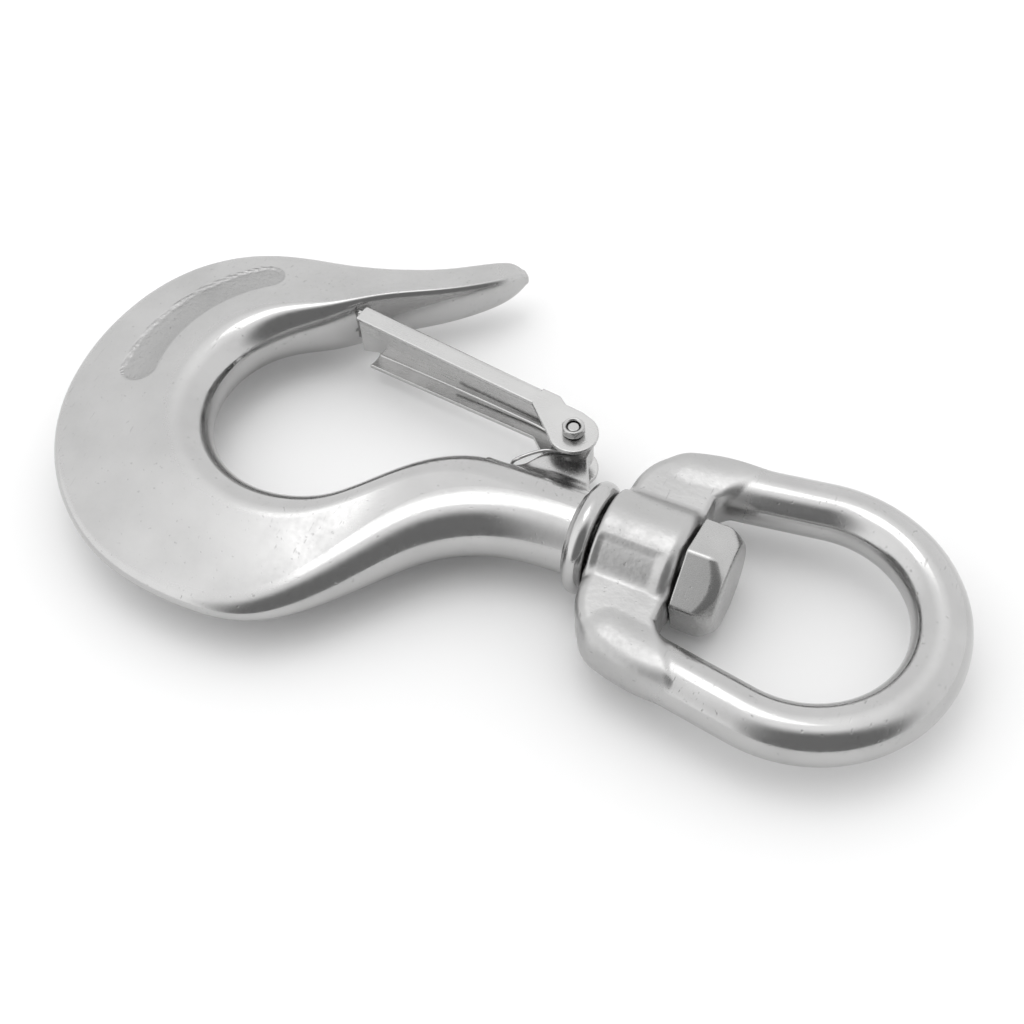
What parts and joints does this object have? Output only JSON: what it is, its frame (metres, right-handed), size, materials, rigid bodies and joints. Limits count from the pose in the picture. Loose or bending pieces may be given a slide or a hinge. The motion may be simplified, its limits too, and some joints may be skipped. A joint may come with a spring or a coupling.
{
  "type": "swivel eye hook with latch",
  "caption": "Swivel lifting hook with a round eye, a hexagon-headed swivel bolt and a spring-loaded sheet latch across the throat.",
  "frame": {"origin": "centre of the bounding box's base, with the hook lying flat", "axes": "+X along the shank from the bowl to the eye, +Y towards the hook's throat, +Z normal to the hook's plane"},
  "size_m": [0.2375, 0.1318, 0.0282],
  "materials": {
    "cast_stainless": "polished investment casting, satin on the flat cheeks",
    "machined_stainless": "machined, tumbled edges",
    "sheet_stainless": "rolled sheet, bright edges",
    "spring_wire": "drawn wire"
  },
  "bodies": {
    "hook": {"hook_body": "cast_stainless", "swivel_bolt": "machined_stainless", "latch_spring": "spring_wire"},
    "eye": {"swivel_eye": "cast_stainless"},
    "latch": {"safety_latch": "sheet_stainless", "latch_bolt": "machined_stainless", "latch_nut": "machined_stainless"}
  },
  "joints": [
    {"name": "eye_swivel", "type": "hinge", "parent": "hook", "child": "eye", "pos_m": [0.0311, -0.0087, 0.0141], "axis": [1, 0, 0], "continuous": true},
    {"name": "latch_pivot", "type": "hinge", "parent": "hook", "child": "latch", "pos_m": [0.0132, 0.0136, 0.0141], "axis": [0, 0, 1], "range_deg": [0, 42], "stiffness_Nm_per_rad": 0.03, "springref_deg": -68.75, "deforming": ["latch_spring"]}
  ]
}
